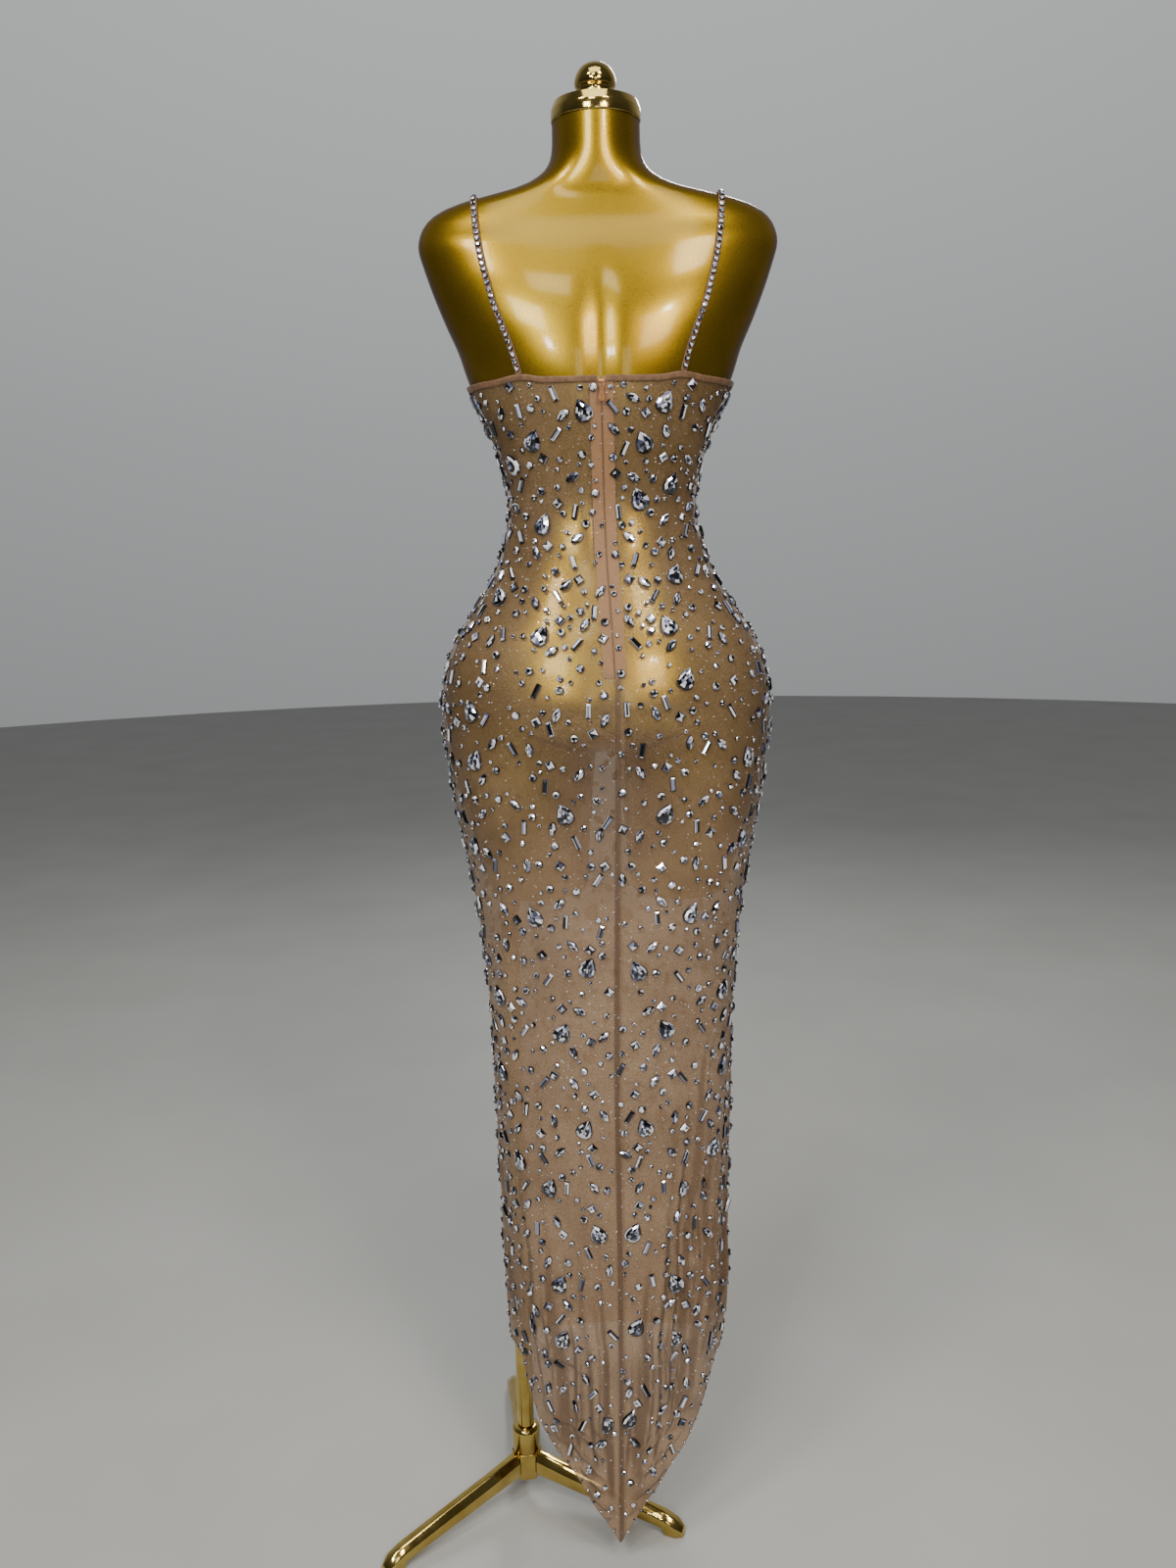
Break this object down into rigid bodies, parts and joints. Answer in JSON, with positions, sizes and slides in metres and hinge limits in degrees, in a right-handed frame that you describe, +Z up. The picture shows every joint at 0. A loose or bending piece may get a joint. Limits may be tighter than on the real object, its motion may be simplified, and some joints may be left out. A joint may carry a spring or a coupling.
{
  "type": "bodycon dress on a limbless dress form with a tripod stand",
  "caption": "Floor-length sheer mesh dress set with crystals, with spaghetti straps, a back zip and a pointed back hem, on a limbless gold dress form with a tripod stand.",
  "frame": {"origin": "on the floor, at the middle of the whole part's footprint", "axes": "+Z is up; -Y faces the viewer of the back of the dress, with its zip; +X is the wearer's right"},
  "size_m": [0.484, 0.3538, 1.706],
  "materials": {
    "mesh_cloth": "satin",
    "binding_cloth": "matte",
    "zip_tape": "matte",
    "zip_metal": "gloss",
    "crystal": "polished",
    "gold_lacquer": "gloss",
    "gold_metal": "polished"
  },
  "bodies": {
    "dress_on_form": {"dress_back_left": "mesh_cloth", "dress_back_right": "mesh_cloth", "dress_front": "mesh_cloth", "neckline_binding": "binding_cloth", "strap_left": "binding_cloth", "strap_right": "binding_cloth", "zip_tape_left": "zip_tape", "zip_tape_right": "zip_tape", "zip_slider": "zip_metal", "form_torso": "gold_lacquer", "neck_cap": "gold_metal", "neck_finial": "gold_metal", "stand_pole": "gold_metal", "stand_collar": "gold_metal", "stand_hub": "gold_metal", "stand_leg_1": "gold_metal", "stand_leg_2": "gold_metal", "stand_leg_3": "gold_metal"},
    "zip_pull": {"zip_pull_tab": "zip_metal"}
  },
  "joints": [
    {"name": "pull_tab_swing", "type": "hinge", "parent": "dress_on_form", "child": "zip_pull", "pos_m": [0.05029, -0.13241, 1.3735], "axis": [-1, 0, 0], "range_deg": [0, 150]}
  ]
}
